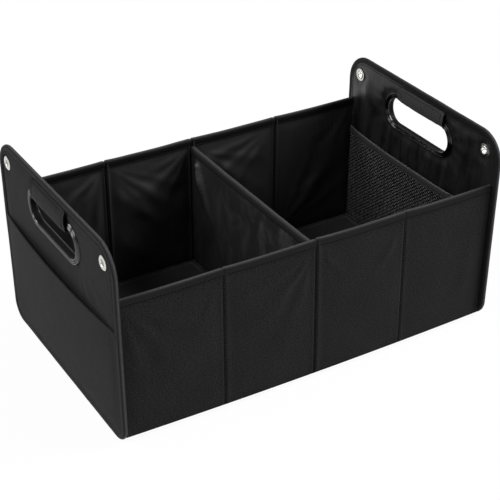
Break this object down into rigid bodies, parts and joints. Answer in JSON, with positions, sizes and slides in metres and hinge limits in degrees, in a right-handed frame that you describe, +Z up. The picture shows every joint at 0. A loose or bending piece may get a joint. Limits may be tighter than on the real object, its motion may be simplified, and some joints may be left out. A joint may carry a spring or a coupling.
{
  "type": "car boot organizer",
  "caption": "Open fabric box with stiff end panels, handle openings, a cross divider, creased folding long walls, outer pockets and an inner net pocket.",
  "frame": {"origin": "under the middle of the base, on the surface that it stands on", "axes": "+X along the length, from one end panel to the other; -Y is the front long wall; +Z up"},
  "size_m": [0.5352, 0.318, 0.257],
  "materials": {
    "coated_polyester": "matt heathered black polyester weave",
    "nylon_lining": "thin, slightly shiny black lining with soft wrinkles",
    "floor_cloth": "matt black cloth over a stiff board",
    "binding_tape": "folded black binding tape with a stitch line",
    "polyester_net": "fine black diamond net",
    "stiffener_board": "grey stiffener board",
    "gloss_moulding": "gloss black",
    "nickel_plate": "bright nickel plate"
  },
  "bodies": {
    "root": {"end_lining_left": "nylon_lining", "end_board_left": "stiffener_board", "end_cover_left": "coated_polyester", "end_binding_left": "binding_tape", "handle_rim_outer_left": "gloss_moulding", "handle_rim_inner_left": "gloss_moulding", "handle_wrap_left": "coated_polyester", "eyelet_left_front": "nickel_plate", "eyelet_washer_left_front": "nickel_plate", "eyelet_left_back": "nickel_plate", "eyelet_washer_left_back": "nickel_plate", "outer_pocket_left": "coated_polyester", "end_lining_right": "nylon_lining", "end_board_right": "stiffener_board", "end_cover_right": "coated_polyester", "end_binding_right": "binding_tape", "handle_rim_outer_right": "gloss_moulding", "handle_rim_inner_right": "gloss_moulding", "handle_wrap_right": "coated_polyester", "eyelet_right_front": "nickel_plate", "eyelet_washer_right_front": "nickel_plate", "eyelet_right_back": "nickel_plate", "eyelet_washer_right_back": "nickel_plate", "outer_pocket_right": "coated_polyester", "mesh_pocket": "polyester_net", "mesh_pocket_tape": "binding_tape", "front_wall_cover": "coated_polyester", "front_wall_lining": "nylon_lining", "front_wall_board_1": "stiffener_board", "front_wall_board_2": "stiffener_board", "front_wall_board_3": "stiffener_board", "front_wall_board_4": "stiffener_board", "front_wall_tape": "binding_tape", "back_wall_cover": "coated_polyester", "back_wall_lining": "nylon_lining", "back_wall_board_1": "stiffener_board", "back_wall_board_2": "stiffener_board", "back_wall_board_3": "stiffener_board", "back_wall_board_4": "stiffener_board", "back_wall_tape": "binding_tape", "divider_board": "stiffener_board", "divider_cover": "nylon_lining", "divider_tape": "binding_tape", "base_cover": "coated_polyester", "floor_board_left": "floor_cloth", "floor_board_right": "floor_cloth"}
  },
  "joints": []
}
